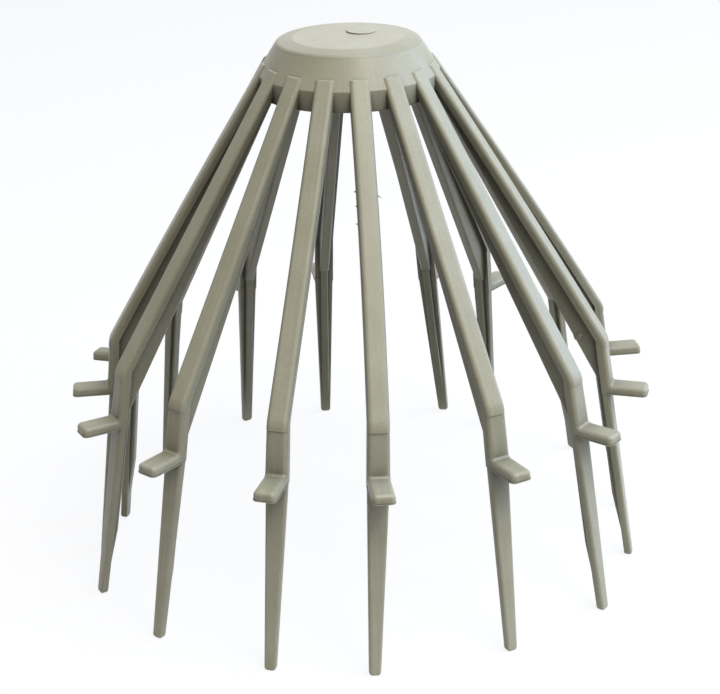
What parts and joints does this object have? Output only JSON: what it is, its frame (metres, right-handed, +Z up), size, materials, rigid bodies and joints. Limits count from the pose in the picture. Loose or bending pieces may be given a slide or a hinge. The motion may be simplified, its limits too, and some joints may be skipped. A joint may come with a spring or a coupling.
{
  "type": "downpipe leaf filter",
  "caption": "Conical leaf filter for a downpipe outlet: a hollow cap on a ring of thin kinked ribs, with tabs that rest on the outlet's rim and legs that reach into the pipe.",
  "frame": {"origin": "on the cap's axis, in the plane of the feet", "axes": "+Z up along the cap's axis, from the feet to the cap; -Y towards the first rib"},
  "size_m": [0.1116, 0.1152, 0.1006],
  "materials": {
    "stone_grey_plastic": "matte, as moulded"
  },
  "bodies": {
    "root": {"leaf_filter": "stone_grey_plastic"}
  },
  "joints": []
}
